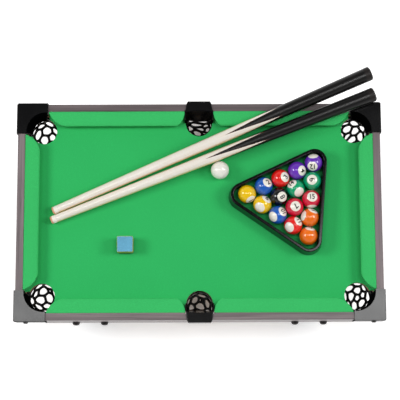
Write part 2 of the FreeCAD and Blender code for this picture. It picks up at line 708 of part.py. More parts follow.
def main():
    os.makedirs("parts", exist_ok=True)

    boxes, screws = cleat_layout()
    cleat_z = (BOARD_BOTTOM - CLEAT_SIZE, BOARD_BOTTOM)
    rooms = [screw_room(x, y) for x, y in screws]
    save("bed_board", bed((BOARD_BOTTOM, BOARD_TOP)).cut(rooms))
    save("bed_cloth", bed((BOARD_TOP, CLOTH_TOP)))
    save("bed_cleats", *[box(x, y, cleat_z).cut(rooms) for x, y in boxes])
    save("cleat_screws", *[cleat_screw(x, y) for x, y in screws])

    for side, shape in two_sides(long_apron()).items():
        save(f"{side}_apron", shape)
    save("right_apron", short_apron())
    save("left_apron", short_apron().mirror(V(), V(1, 0, 0)))

    for corner, shape in four_corners(long_cushion()).items():
        save(f"{corner}_cushion", shape)
    save("right_cushion", short_cushion())
    save("left_cushion", short_cushion().mirror(V(), V(1, 0, 0)))

    for corner, shape in four_corners(corner_casting()).items():
        save(f"{corner}_casting", shape)
    for side, shape in two_sides(side_casting()).items():
        save(f"{side}_middle_casting", shape)
    for corner, shape in four_corners(corner_net()).items():
        save(f"{corner}_net", shape)
    for side, shape in two_sides(side_net()).items():
        save(f"{side}_middle_net", shape)
    save("casting_screws", *four_corners(casting_screw()).values())

    for corner, shape in four_corners(leg()).items():
        save(f"{corner}_leg", shape)
    save("foot_pads", *[s for pad in foot_pads() for s in four_corners(pad).values()])
    bolts = [two_sides(leg_bolt(x)) for x in bolt_positions()]
    nuts = [two_sides(leg_nut(x)) for x in bolt_positions()]
    save("leg_bolts", *[s for pair in bolts for s in pair.values()])
    save("leg_nuts", *[s for pair in nuts for s in pair.values()])

    save("rack", rack())
    for number, shape in racked_balls().items():
        save(f"ball_{number:02d}", shape)
    save("cue_ball", ball_at(*CUE_BALL))
    for name, ends, rest in (("upper", UPPER_CUE, UPPER_REST), ("lower", LOWER_CUE, LOWER_REST)):
        for piece, shape in cue(ends, rest).items():
            save(f"{name}_cue_{piece}", shape)
    cube, label = chalk()
    save("chalk_cube", cube)
    save("chalk_label", label)


main()
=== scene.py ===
"""The looks of the tabletop pool table: cloth, cushions, nets, finishes, numbers, light and camera.

Metres, in the frame of the CAD model. Every new piece is drawn where it lies, on an object at the origin,
so that a material's object coordinates are places in that frame.
"""

import math
import random

import bmesh
import bpy
from mathutils import Matrix, Vector, noise


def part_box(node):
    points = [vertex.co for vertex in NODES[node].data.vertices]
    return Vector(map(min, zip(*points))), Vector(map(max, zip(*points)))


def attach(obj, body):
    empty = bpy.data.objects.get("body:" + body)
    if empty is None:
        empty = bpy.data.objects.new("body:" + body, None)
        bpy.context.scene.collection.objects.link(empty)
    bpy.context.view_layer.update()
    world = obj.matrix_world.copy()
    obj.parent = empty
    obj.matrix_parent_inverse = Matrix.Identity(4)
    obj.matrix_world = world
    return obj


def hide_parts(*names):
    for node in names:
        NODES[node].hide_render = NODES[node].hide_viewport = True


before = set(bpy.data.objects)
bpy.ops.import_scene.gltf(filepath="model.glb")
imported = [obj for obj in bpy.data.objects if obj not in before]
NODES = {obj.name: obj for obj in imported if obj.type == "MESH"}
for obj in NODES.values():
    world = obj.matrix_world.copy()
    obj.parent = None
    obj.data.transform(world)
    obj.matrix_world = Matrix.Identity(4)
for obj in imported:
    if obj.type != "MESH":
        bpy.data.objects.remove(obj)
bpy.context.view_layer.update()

MM = 0.001
UP = Vector((0, 0, 1))

TABLE_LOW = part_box("front_left_casting")[0]
TABLE_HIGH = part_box("back_right_casting")[1]
CENTRE_X = (TABLE_LOW.x + TABLE_HIGH.x) / 2
CENTRE_Y = (TABLE_LOW.y + TABLE_HIGH.y) / 2
HALF_LENGTH = (TABLE_HIGH.x - TABLE_LOW.x) / 2
HALF_WIDTH = (TABLE_HIGH.y - TABLE_LOW.y) / 2
RAIL_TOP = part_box("back_apron")[1].z
CLOTH_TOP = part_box("bed_cloth")[1].z

CORNERS = {
    "back_right": (1, 1),
    "back_left": (-1, 1),
    "front_right": (1, -1),
    "front_left": (-1, -1),
}

# Cushions. A section's points are (distance in from the rail, height over the cloth).
CUSHION_BACK = 12.0 * MM
CUSHION_UNDERSIDE = ((0.0, 0.3), (8.0, 0.3), (13.5, 6.2), (18.6, 11.6))
CUSHION_NOSE = ((19.6, 12.9), (20.0, 13.9), (20.0, 14.8), (19.6, 15.8))
CUSHION_TOP = ((18.5, 16.6), (16.0, 17.4), (11.0, 18.3), (6.0, 18.9))
CUSHION_BEAD = ((2.6, 19.2), (1.3, 19.6), (0.5, 19.7), (0.0, 19.2))
CUSHION_REACH = 20.0  # from the rail to the tip of the nose
# The curved ends at a corner pocket and at a middle one. Their points, in mm, are (distance along the rail
# from the table's corner, or from its middle, distance in from the table's outline).
CORNER_END = ((44.0, 12.0), (50.2, 23.5), (66.0, 32.0))
SIDE_END = ((20.0, 12.0), (22.4, 24.0), (31.0, 32.0))
CUSHION_STEPS = 40
CUSHION_EDGE_ROUND = 1.3 * MM
CLOTH_RIPPLE = 0.12 * MM

# Nets: moulded mesh bags
NET_STRAND = 3.1 * MM
STRAND_WIDTH = 3.3 * MM
STRAND_THICKNESS = 2.4 * MM
OPENING_CORNER = 0.18  # how much of an opening's side its cut corner takes
POCKET_INSET = 36.0 * MM
CORNER_NET_RADIUS = 22.2 * MM
SIDE_NET_HALF = 19.7 * MM
SIDE_NET_DEPTH = 10.0 * MM
NET_WALL = 1.12  # the upright part's height over the round part's radius

# Balls, by number. A plain ball: where its numbered disc looks, in plan, and where its digits' tops are.
# A striped ball: where its disc and its upper white end look, in plan, and 1 if the digits' tops are
# towards that end or -1 if they are away from it.
DISC_ANGLE = 33.5
CAP_ANGLE = 34.0
DIGIT_HEIGHT = 7.6 * MM
PLAIN_BALLS = {
    1: ((0.45, -0.78), (0.88, 0.48)),
    2: ((0.45, 0.35), (-0.50, 0.85)),
    3: ((0.55, 0.04), (-0.90, 0.40)),
    4: ((0.60, -0.14), (0.95, 0.20)),
    5: ((0.15, 0.89), (0.20, -0.95)),
    6: ((-0.12, -0.01), (0.90, 0.35)),
    7: ((0.08, -0.04), (0.75, -0.65)),
    8: ((0.35, -0.16), (0.85, 0.50)),
}
STRIPED_BALLS = {
    9: ((0.53, 0.59), (-0.44, -0.56), 1),
    10: ((0.60, 0.33), (-0.66, -0.34), 1),
    11: ((0.62, 0.44), (-0.67, -0.42), 1),
    12: ((-0.21, -0.60), (-0.09, 0.79), -1),
    13: ((0.38, 0.80), (-0.94, 0.05), 1),
    14: ((-0.52, 0.53), (0.39, -0.56), -1),
    15: ((0.07, 0.15), (0.04, -0.99), -1),
}

# The oval of floor under the table that the glow of the paper leaves out: a painted shadow under the table
PAINTED_SHADOW_SHIFT = 22 * MM
PAINTED_SHADOW_HALF_LENGTH = 235 * MM
PAINTED_SHADOW_HALF_WIDTH = 168 * MM

# Lights: place from the middle of the table's top, in metres, size in metres and power in watts
SOFTBOX_DISTANCE = 1.9
SOFTBOX_ANGLE = math.radians(47)
SOFTBOX_BACK = 0.08
SOFTBOX_SIZE = (0.6, 0.6)
LEFT_SOFTBOX_POWER = 14.4
RIGHT_SOFTBOX_POWER = 12.6
# The sky's strength falls between two heights, each from 0 at the horizon to 1 overhead
SKY_HEIGHTS = (0.12, 0.65)
SKY_STRENGTHS = (0.85, 0.16)
FLOOR_HALF = 4.0
FLOOR_GLOW = 0.55

# Camera
CAMERA_DISTANCE = 1.7
CAMERA_TILT = math.radians(8.5)
CAMERA_LENS = 110.9
CAMERA_AIM = (1.0 * MM, 14.8 * MM, 0)

# Cues: where the black points of the butt start and end, along the cue from its tip
BUTT_POINTS = {"upper": (264 * MM, 345 * MM), "lower": (233 * MM, 322 * MM)}
POINT_COUNT = 4
VENEER = 5.0 * MM  # the brown line round each point, measured along the cue
TIP_LEATHER = 3.0 * MM  # the leather's thickness, with a pale ferrule behind it


def table_point(x, y, z):
    """A point by its place from the table's middle."""
    return Vector((CENTRE_X + x, CENTRE_Y + y, z))


# Materials


class Shader:
    """A material's nodes. Most methods add a node and return the socket that comes out of it."""

    def __init__(self, name, settings):
        self.material = bpy.data.materials.new(name)
        self.material.use_nodes = True
        tree = self.material.node_tree
        self.nodes, self.links = tree.nodes, tree.links
        self.bsdf = self.nodes["Principled BSDF"]
        for socket, value in settings.items():
            self.bsdf.inputs[socket].default_value = value
        self.place = self.node("TexCoord").outputs["Object"]

    def node(self, kind, values=None, **settings):
        node = self.nodes.new("ShaderNode" + kind)
        for name, value in settings.items():
            setattr(node, name, value)
        for socket, value in (values or {}).items():
            if isinstance(value, bpy.types.NodeSocket):
                self.links.new(value, node.inputs[socket])
            else:
                node.inputs[socket].default_value = value
        return node

    def out(self, socket, value):
        self.links.new(value, self.bsdf.inputs[socket])

    def stretched(self, scale, turn=(0, 0, 0)):
        return self.node("Mapping", {"Vector": self.place, "Scale": scale, "Rotation": turn}).outputs[0]

    def noise(self, scale, detail=2.0, place=None, distortion=0.0):
        values = {"Vector": place or self.place, "Scale": scale, "Detail": detail}
        values["Distortion"] = distortion
        return self.node("TexNoise", values).outputs[0]

    def math(self, operation, a, b=0.0):
        return self.node("Math", {0: a, 1: b}, operation=operation).outputs[0]

    def vector(self, operation, a, b=(0, 0, 0)):
        node = self.node("VectorMath", {0: a, 1: b}, operation=operation)
        return node.outputs["Value" if operation in ("DOT_PRODUCT", "LENGTH") else "Vector"]

    def between(self, value, low, high, start=0.0, end=1.0):
        values = {"Value": value, 1: low, 2: high, 3: start, 4: end}
        return self.node("MapRange", values).outputs[0]

    def mix(self, factor, a, b):
        node = self.node("Mix", data_type="RGBA")
        for index, value in ((0, factor), (6, a), (7, b)):
            if isinstance(value, bpy.types.NodeSocket):
                self.links.new(value, node.inputs[index])
            else:
                node.inputs[index].default_value = value if index == 0 else (*value, 1)
        return node.outputs[2]

    def bump(self, height, distance, strength=1.0, under=None):
        values = {"Height": height, "Distance": distance, "Strength": strength}
        if under is not None:
            values["Normal"] = under
        return self.node("Bump", values).outputs[0]


def srgb(red, green, blue):
    """A colour from its 0 to 255 display values."""

    def linear(c):
        c /= 255
        return c / 12.92 if c <= 0.04045 else ((c + 0.055) / 1.055) ** 2.4

    return tuple(linear(c) for c in (red, green, blue))


def shade(colour, factor):
    return tuple(min(1.0, c * factor) for c in colour)


def felt(name, colour):
    """Short-napped green baize: fibres every way, a fine weave under them and a faint sheen."""
    s = Shader(name, {"Roughness": 0.92, "Sheen Weight": 0.22, "Sheen Roughness": 0.45})
    s.bsdf.inputs["Sheen Tint"].default_value = (*shade(colour, 2.0), 1)
    s.bsdf.inputs["Specular IOR Level"].default_value = 0.18
    nap = s.noise(1.0, 4.0, s.stretched((900, 2200, 1500), (0, 0, 0.5)))
    fleck = s.noise(420.0, 3.0)
    cloud = s.noise(14.0, 2.0)
    tone = s.mix(s.between(nap, 0.3, 0.7), shade(colour, 0.86), shade(colour, 1.12))
    tone = s.mix(s.between(fleck, 0.55, 0.8, 0.0, 0.35), tone, shade(colour, 1.3))
    tone = s.mix(s.between(cloud, 0.35, 0.65, 0.0, 0.12), tone, shade(colour, 0.8))
    s.out("Base Color", tone)
    weave = s.noise(1.0, 1.0, s.stretched((2600, 700, 1600), (0, 0, 0.1)))
    s.out("Normal", s.bump(weave, 0.12 * MM, 0.5, s.bump(nap, 0.16 * MM, 0.6)))
    return s.material


def wood(name, dark, light, axis, roughness=0.42, coat=0.15):
    """Straight-grained wood or its printed foil, the grain along one axis."""
    s = Shader(name, {"Coat Weight": coat, "Coat Roughness": 0.25, "Specular IOR Level": 0.4})
    broad_scale = [34.0] * 3
    fine_scale = [330.0] * 3
    pore_scale = [900.0] * 3
    broad_scale[axis] = 2.2
    fine_scale[axis] = 7.0
    pore_scale[axis] = 26.0
    broad = s.noise(1.0, 3.0, s.stretched(broad_scale), 0.8)
    fine = s.noise(1.0, 5.0, s.stretched(fine_scale), 0.3)
    pore = s.noise(1.0, 2.0, s.stretched(pore_scale))
    tone = s.mix(s.between(fine, 0.32, 0.68), dark, light)
    tone = s.mix(s.between(broad, 0.4, 0.62, 0.0, 0.55), tone, shade(dark, 0.8))
    tone = s.mix(s.between(pore, 0.6, 0.72, 0.0, 0.6), tone, shade(dark, 0.45))
    s.out("Base Color", tone)
    s.out("Roughness", s.between(fine, 0.2, 0.8, roughness - 0.08, roughness + 0.1))
    s.out("Normal", s.bump(pore, 0.08 * MM, 0.35, s.bump(fine, 0.06 * MM, 0.3)))
    return s.material


def plastic(name, colour, roughness, grain=0.02 * MM, gloss=0.5, lined=False):
    """Moulded plastic: a faint orange peel, and gloss that varies a little from handling. If it is lined,
    the walls that face the table's middle, inside the pockets, are matt."""
    s = Shader(name, {})
    peel = s.noise(700.0, 2.0)
    wear = s.noise(45.0, 4.0)
    scuff = s.noise(1.0, 3.0, s.stretched((160, 1400, 900), (0.3, 0.2, 0.9)))
    s.out("Base Color", s.mix(s.between(wear, 0.3, 0.75), colour, shade(colour, 1.5)))
    worn = s.between(wear, 0.3, 0.7, roughness - 0.01, roughness + 0.02)
    s.out("Roughness", s.math("ADD", worn, s.between(scuff, 0.66, 0.8, 0.0, 0.06)))
    s.out("Normal", s.bump(peel, grain, 0.4))
    if lined:
        normal = s.node("TexCoord").outputs["Normal"]
        away = s.vector("MULTIPLY", s.vector("SUBTRACT", s.place, (CENTRE_X, CENTRE_Y, 0)), (1, 1, 0))
        outward = s.vector("DOT_PRODUCT", normal, s.vector("NORMALIZE", away))
        upward = s.node("SeparateXYZ", {0: normal}).outputs[2]
        shown = s.math("MAXIMUM", outward, upward)
        s.out("Specular IOR Level", s.between(shown, 0.1, 0.5, 0.0, gloss))
    else:
        s.bsdf.inputs["Specular IOR Level"].default_value = gloss
    return s.material


def metal(name, colour, roughness, metallic=1.0):
    s = Shader(name, {"Metallic": metallic})
    brushed = s.noise(1.0, 4.0, s.stretched((300, 2400, 2400)))
    stain = s.noise(160.0, 3.0)
    s.out("Base Color", s.mix(stain, shade(colour, 0.75), shade(colour, 1.2)))
    s.out("Roughness", s.between(brushed, 0.2, 0.8, roughness - 0.08, roughness + 0.1))
    s.out("Normal", s.bump(brushed, 0.02 * MM, 0.4))
    return s.material


def rough_stuff(name, colour, scale, depth, spread=0.25, roughness=0.85):
    """Chalk, leather, rubber, raw board or paper: a matt, finely broken surface."""
    s = Shader(name, {"Roughness": roughness, "Specular IOR Level": 0.25})
    grain = s.noise(scale, 5.0)
    patch = s.noise(scale / 14, 3.0)
    tone = s.mix(grain, shade(colour, 1 - spread), shade(colour, 1 + spread))
    s.out("Base Color", s.mix(s.between(patch, 0.35, 0.7, 0.0, 0.5), tone, shade(colour, 1 + spread)))
    s.out("Normal", s.bump(grain, depth, 0.7))
    return s.material


def ball_finish(name, colour, centre, disc=None, cap_axis=None):
    """Polished resin. disc is the way the numbered disc faces; a striped ball is white round cap_axis."""
    white = srgb(236, 232, 220)
    s = Shader(name, {"Coat Weight": 0.6, "Coat Roughness": 0.03, "Specular IOR Level": 0.5})
    swirl = s.noise(130.0, 3.0, None, 0.6)
    tone = s.mix(s.between(swirl, 0.3, 0.7), shade(colour, 0.93), shade(colour, 1.07))
    outward = s.vector("NORMALIZE", s.vector("SUBTRACT", s.place, tuple(centre)))
    edge = 0.012
    if cap_axis is not None:
        along = s.math("ABSOLUTE", s.vector("DOT_PRODUCT", outward, tuple(cap_axis)))
        limit = math.cos(math.radians(CAP_ANGLE))
        tone = s.mix(s.between(along, limit - edge, limit + edge), tone, white)
    if disc is not None:
        facing = s.vector("DOT_PRODUCT", outward, tuple(disc))
        limit = math.cos(math.radians(DISC_ANGLE))
        tone = s.mix(s.between(facing, limit - edge, limit + edge), tone, white)
    s.out("Base Color", tone)
    s.out("Roughness", s.between(s.noise(90.0, 4.0), 0.35, 0.75, 0.07, 0.16))
    s.out("Normal", s.bump(s.noise(500.0, 1.0), 0.01 * MM, 0.2))
    return s.material


def cue_finish(name, start, axis, points):
    """Lacquered pale wood, and a gloss black butt that meets it in long points."""
    first, last = points
    side = axis.cross(UP).normalized()
    top = side.cross(axis).normalized()
    s = Shader(name, {"Coat Roughness": 0.08})
    offset = s.vector("SUBTRACT", s.place, tuple(start))
    along = s.vector("DOT_PRODUCT", offset, tuple(axis))
    sideways = s.vector("DOT_PRODUCT", offset, tuple(side))
    height = s.vector("DOT_PRODUCT", offset, tuple(top))
    turn = s.math("ARCTAN2", sideways, height)
    turns = s.math("MULTIPLY", turn, POINT_COUNT / (2 * math.pi))
    around = s.math("FRACT", s.math("ADD", turns, 0.5))
    swing = s.math("ABSOLUTE", s.math("SUBTRACT", around, 0.5))
    limit = s.between(swing, 0.0, 0.5, first, last)
    past = s.math("SUBTRACT", along, limit)
    speckle_along = s.math("MULTIPLY", along, 6.0)
    speckle_place = s.node("CombineXYZ", {0: speckle_along, 1: sideways, 2: height}).outputs[0]
    grain = s.noise(260.0, 4.0, speckle_place, 0.2)
    pore_along = s.math("MULTIPLY", along, 0.02)
    pore_place = s.node("CombineXYZ", {0: pore_along, 1: sideways, 2: height}).outputs[0]
    pores = s.noise(1100.0, 2.0, pore_place)
    pale, warm = srgb(234, 229, 222), srgb(228, 209, 172)
    tone = s.mix(s.between(grain, 0.35, 0.75, 0.0, 0.4), pale, warm)
    tone = s.mix(s.between(pores, 0.6, 0.75, 0.0, 0.3), tone, srgb(205, 170, 112))
    # The cue's sides, away from its top, are painted a warmer yellow: a painted warm reflection along its
    # edges.
    from_top = s.math("ABSOLUTE", turn)
    tone = s.mix(s.between(from_top, 0.75, 1.35, 0.0, 0.75), tone, srgb(226, 190, 104))
    tone = s.mix(s.between(past, -VENEER, -0.8 * VENEER), tone, srgb(112, 52, 30))
    black = s.mix(s.noise(300.0, 3.0), srgb(3, 3, 3), srgb(9, 8, 8))
    painted = s.between(past, -0.3 * MM, 0.3 * MM)
    s.out("Base Color", s.mix(painted, tone, black))
    lacquer_roughness = s.between(grain, 0.3, 0.7, 0.17, 0.26)
    s.out("Roughness", s.math("ADD", lacquer_roughness, s.math("MULTIPLY", painted, 0.11)))
    s.out("Specular IOR Level", s.between(painted, 0.0, 1.0, 0.5, 0.45))
    s.out("Coat Weight", s.between(painted, 0.0, 1.0, 0.6, 0.0))
    s.out("Normal", s.bump(pores, 0.015 * MM, 0.3))
    return s.material


def tip_finish(name, end, axis):
    """Pressed leather at the very end, and the pale ferrule behind it."""
    s = Shader(name, {"Specular IOR Level": 0.3})
    along = s.vector("DOT_PRODUCT", s.vector("SUBTRACT", s.place, tuple(end)), tuple(axis))
    behind = s.between(along, TIP_LEATHER - 0.1 * MM, TIP_LEATHER + 0.1 * MM)
    grain = s.noise(900.0, 5.0)
    leather = s.mix(grain, srgb(198, 142, 112), srgb(232, 178, 148))
    s.out("Base Color", s.mix(behind, leather, srgb(238, 232, 222)))
    s.out("Roughness", s.between(behind, 0.0, 1.0, 0.85, 0.3))
    s.out("Normal", s.bump(grain, 0.06 * MM, 0.6))
    return s.material


def label_finish(name, low, high):
    """A printed paper wrap: a yellow ground with a green and a dark band, rubbed in patches."""
    s = Shader(name, {"Roughness": 0.6, "Specular IOR Level": 0.35})
    parts = s.node("SeparateXYZ", {0: s.place}).outputs
    height = s.between(parts[2], low.z, high.z)
    ground = s.mix(s.noise(300.0, 3.0), srgb(212, 204, 60), srgb(190, 184, 62))
    green = s.between(s.math("ABSOLUTE", s.math("SUBTRACT", height, 0.66)), 0.15, 0.17, 1.0, 0.0)
    dark = s.between(height, 0.28, 0.3, 1.0, 0.0)
    tone = s.mix(green, ground, srgb(64, 128, 84))
    tone = s.mix(dark, tone, srgb(52, 62, 74))
    rub = s.noise(220.0, 5.0)
    s.out("Base Color", s.mix(s.between(rub, 0.58, 0.72, 0.0, 0.6), tone, srgb(206, 204, 190)))
    s.out("Normal", s.bump(s.noise(1300.0, 3.0), 0.03 * MM, 0.5))
    return s.material


def paint(node, material):
    """Gives a CAD node, or a new piece, one material."""
    obj = NODES[node] if isinstance(node, str) else node
    obj.data.materials.clear()
    obj.data.materials.append(material)
    obj.data.shade_smooth()
    obj.data.set_sharp_from_angle(angle=math.radians(38))


def soften(node, width, segments=2):
    """Breaks the sharp edges of a CAD node, or of a piece made from one."""
    obj = NODES[node] if isinstance(node, str) else node
    weld = obj.modifiers.new("weld", "WELD")
    weld.merge_threshold = 0.002 * MM
    bevel = obj.modifiers.new("edges", "BEVEL")
    bevel.width = width
    bevel.segments = segments
    bevel.limit_method = "ANGLE"
    bevel.angle_limit = math.radians(50)
    bevel.use_clamp_overlap = True
    flat = obj.modifiers.new("flat faces", "WEIGHTED_NORMAL")
    flat.weight = 100
    flat.keep_sharp = True


# Pieces


def new_piece(name, mesh, body):
    """A new object at the origin that rides on a body."""
    obj = bpy.data.objects.new(name, mesh)
    bpy.context.scene.collection.objects.link(obj)
    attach(obj, body)
    return obj


def mesh_from(bm, name):
    bmesh.ops.recalc_face_normals(bm, faces=bm.faces)
    mesh = bpy.data.meshes.new(name)
    bm.to_mesh(mesh)
    bm.free()
    return mesh


def arc_lookup(points):
    """The arc through three (u, v) points, as a function from v to u."""
    (ax, ay), (bx, by), (cx, cy) = points
    d = 2 * (ax * (by - cy) + bx * (cy - ay) + cx * (ay - by))
    a2, b2, c2 = ax * ax + ay * ay, bx * bx + by * by, cx * cx + cy * cy
    centre_u = (a2 * (by - cy) + b2 * (cy - ay) + c2 * (ay - by)) / d
    centre_v = (a2 * (cx - bx) + b2 * (ax - cx) + c2 * (bx - ax)) / d
    radius = math.hypot(ax - centre_u, ay - centre_v)
    side = 1 if bx > centre_u else -1

    def at(v):
        return centre_u + side * math.sqrt(max(0.0, radius**2 - (v - centre_v) ** 2))

    return at


def cushion_mesh(name, start, end, place):
    """A cloth-covered cushion. start and end give its ends along the rail, in mm, for a distance in from
    the table's outline, in mm, and place(along, inward, height) is the point in the frame, in metres."""
    section = [*CUSHION_UNDERSIDE, *CUSHION_NOSE, *CUSHION_TOP, *CUSHION_BEAD]
    back = CUSHION_BACK / MM
    bm = bmesh.new()
    rings = []
    for step in range(CUSHION_STEPS + 1):
        t = step / CUSHION_STEPS
        t = t * t * (3 - 2 * t) * 0.5 + t * 0.5
        ring = []
        for inward, height in section:
            first, last = start(inward + back), end(inward + back)
            along = first + (last - first) * t
            point = place(along * MM, (inward + back) * MM, CLOTH_TOP + height * MM)
            ripple = noise.noise(point * 60) + 0.5 * noise.noise(point * 170)
            inside = math.sin(math.pi * min(1.0, inward / CUSHION_REACH))
            point.z += ripple * CLOTH_RIPPLE * inside
            ring.append(bm.verts.new(point))
        rings.append(ring)
    for first, second in zip(rings, rings[1:]):
        for i in range(len(section)):
            j = (i + 1) % len(section)
            bm.faces.new((first[i], first[j], second[j], second[i]))
    bm.faces.new(rings[0])
    bm.faces.new(rings[-1][::-1])
    return mesh_from(bm, name)


def add_cushions(material):
    corner = arc_lookup(CORNER_END)
    middle = arc_lookup(SIDE_END)
    half_length = HALF_LENGTH / MM
    half_width = HALF_WIDTH / MM
    pieces = {}
    for key, (sx, sy) in CORNERS.items():

        def place(along, inward, height, sx=sx, sy=sy):
            return table_point(sx * along, sy * (HALF_WIDTH - inward), height)

        pieces[key] = cushion_mesh(f"{key}_rail", middle, lambda v: half_length - corner(v), place)
    for key, sx in (("right", 1), ("left", -1)):

        def place(along, inward, height, sx=sx):
            return table_point(sx * (HALF_LENGTH - inward), along, height)

        pieces[key] = cushion_mesh(
            f"{key}_rail", lambda v: corner(v) - half_width, lambda v: half_width - corner(v), place
        )
    for key, mesh in pieces.items():
        obj = new_piece(f"{key}_cushion_cloth", mesh, "table")
        bevel = obj.modifiers.new("turned ends", "BEVEL")
        bevel.width = CUSHION_EDGE_ROUND
        bevel.segments = 4
        bevel.limit_method = "ANGLE"
        bevel.angle_limit = math.radians(48)
        paint(obj, material)
        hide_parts(f"{key}_cushion")


def add_bed_cloth(material):
    """The bed's cloth, cut out at the pockets, its edges eased."""
    mesh = NODES["bed_cloth"].data.copy()
    mesh.name = "bed_baize"
    obj = new_piece("bed_baize", mesh, "table")
    paint(obj, material)
    soften(obj, 0.45 * MM, 3)
    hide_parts("bed_cloth")


def bag_rings():
    """(height over the round bottom, points) of a unit bag's rings, from its rim down."""
    rings = [(NET_WALL, 12), (NET_WALL * 0.55, 11), (NET_WALL * 0.12, 10)]
    for polar, count in ((72, 10), (46, 7), (18, 3)):
        rings.append((-math.cos(math.radians(polar)), count))
    return rings


def irregular_bag(seed):
    """A unit bag, open at its top, of irregular many-sided cells: (points, polygons)."""
    rng = random.Random(seed)
    points = []
    for level, (height, count) in enumerate(bag_rings()):
        loose = 0.0 if level == 0 else 1.0
        phase = rng.random()
        for i in range(count):
            angle = 2 * math.pi * (i + phase + loose * rng.uniform(-0.34, 0.34)) / count
            z = max(-0.999, height + loose * rng.uniform(-0.16, 0.16))
            radius = 1.0 if z >= 0 else math.sqrt(1 - z * z)
            points.append(Vector((radius * math.cos(angle), radius * math.sin(angle), z)))
    bm = bmesh.new()
    for p in points:
        bm.verts.new(p)
    bmesh.ops.convex_hull(bm, input=bm.verts)
    bmesh.ops.triangulate(bm, faces=bm.faces)
    lid = [f for f in bm.faces if all(v.co.z > NET_WALL - 1e-4 for v in f.verts)]
    bmesh.ops.delete(bm, geom=lid, context="FACES_ONLY")
    bm.normal_update()
    cell_points, index, polygons = [], {}, []

    def corner(key, position):
        if key not in index:
            index[key] = len(cell_points)
            cell_points.append(position)
        return index[key]

    for v in bm.verts:
        if not v.link_faces:
            continue
        around = Matrix(v.normal.to_track_quat("Z", "X").to_matrix()).inverted()
        spots = [(f.calc_center_median(), ("face", f.index)) for f in v.link_faces]
        border = [e for e in v.link_edges if e.is_boundary]
        spots += [((e.verts[0].co + e.verts[1].co) / 2, ("edge", e.index)) for e in border]
        if border:
            spots.append((v.co.copy(), ("vertex", v.index)))
        middle = sum((p for p, _ in spots), Vector()) / len(spots)
        flat = [(around @ (p - middle), p, key) for p, key in spots]
        flat.sort(key=lambda spot: math.atan2(spot[0].y, spot[0].x))
        polygons.append([corner(key, p) for _, p, key in flat])
    bm.free()
    return cell_points, polygons


def on_bag(point):
    """The nearest point of the unit bag's surface."""
    flat = Vector((point.x, point.y, 0))
    if point.z >= 0:
        return flat.normalized() + UP * point.z
    return point.normalized()


def strand_mesh(name, points, cells):
    """Flat strands along the sides of the cells, with the corners of their openings cut."""
    vertices, faces = list(points), []
    for cell in cells:
        count = len(cell)
        corners = [points[i] for i in cell]
        middle = sum(corners, Vector()) / count
        opening = []
        for i, here in enumerate(corners):
            before = (corners[i - 1] - here).normalized()
            after = (corners[(i + 1) % count] - here).normalized()
            inward = middle - here
            way = before + after
            way = way.normalized() if way.length > 0.3 else inward.normalized()
            half_angle_sine = math.sqrt(max(0.1, (1 - before.dot(after)) / 2))
            opening.append(here + way * min(STRAND_WIDTH / 2 / half_angle_sine, 0.6 * inward.length))
        ring = []
        for i, here in enumerate(opening):
            for there in (opening[i - 1], opening[(i + 1) % count]):
                ring.append(len(vertices))
                vertices.append(here.lerp(there, OPENING_CORNER))
        for i in range(count):
            j = (i + 1) % count
            faces.append((cell[i], cell[j], ring[2 * j], ring[2 * i + 1]))
            faces.append((cell[i], ring[2 * i + 1], ring[2 * i]))
    mesh = bpy.data.meshes.new(name)
    mesh.from_pydata(vertices, [], faces)
    mesh.validate()
    return mesh


def net_mesh(name, seed, middle, top, turn, bottom, plan):
    """A net of strands. plan maps a unit direction to the bag's outline in plan."""
    points, polygons = irregular_bag(seed)
    placed = []
    for point in points:
        p = on_bag(point)
        radius = math.hypot(p.x, p.y)
        reach = plan(p.x / radius, p.y / radius) if radius > 1e-6 else Vector()
        z = turn + p.z / NET_WALL * (top - turn) if p.z >= 0 else turn + p.z * (turn - bottom)
        placed.append(Vector((middle.x + reach.x * radius, middle.y + reach.y * radius, z)))
    return strand_mesh(name, placed, polygons)


def add_nets(material):
    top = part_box("bed_board")[0].z - NET_STRAND / 2
    places = {}
    for key, (sx, sy) in CORNERS.items():
        middle = table_point(sx * (HALF_LENGTH - POCKET_INSET), sy * (HALF_WIDTH - POCKET_INSET), 0)
        places[key] = (middle, lambda c, s: Vector((c, s, 0)) * CORNER_NET_RADIUS)
    for key, sy in (("back_middle", 1), ("front_middle", -1)):
        low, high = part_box(f"{key}_net")
        flat_side = high.y if sy > 0 else low.y
        middle = Vector((CENTRE_X, flat_side - sy * (SIDE_NET_DEPTH + NET_STRAND / 2), 0))

        def plan(c, s, sy=sy):
            if s * sy <= 0:
                return Vector((c, s, 0)) * SIDE_NET_HALF
            return Vector((
                math.copysign(SIDE_NET_HALF * abs(c) ** 0.5, c),
                math.copysign(SIDE_NET_DEPTH * abs(s) ** 0.5, s),
                0,
            ))

        places[key] = (middle, plan)
    for seed, (key, (middle, plan)) in enumerate(places.items()):
        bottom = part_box(f"{key}_net")[0].z + NET_STRAND / 2
        turn = bottom + CORNER_NET_RADIUS
        mesh = net_mesh(f"{key}_mesh", 11 + seed, middle, top, turn, bottom, plan)
        obj = new_piece(f"{key}_pocket_net", mesh, "table")
        strands = obj.modifiers.new("strands", "SOLIDIFY")
        strands.thickness = STRAND_THICKNESS
        strands.offset = 0
        edges = obj.modifiers.new("edges", "BEVEL")
        edges.width = 0.6 * MM
        edges.segments = 2
        edges.limit_method = "ANGLE"
        edges.angle_limit = math.radians(40)
        obj.data.materials.append(material)
        obj.data.shade_smooth()
        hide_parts(f"{key}_net")


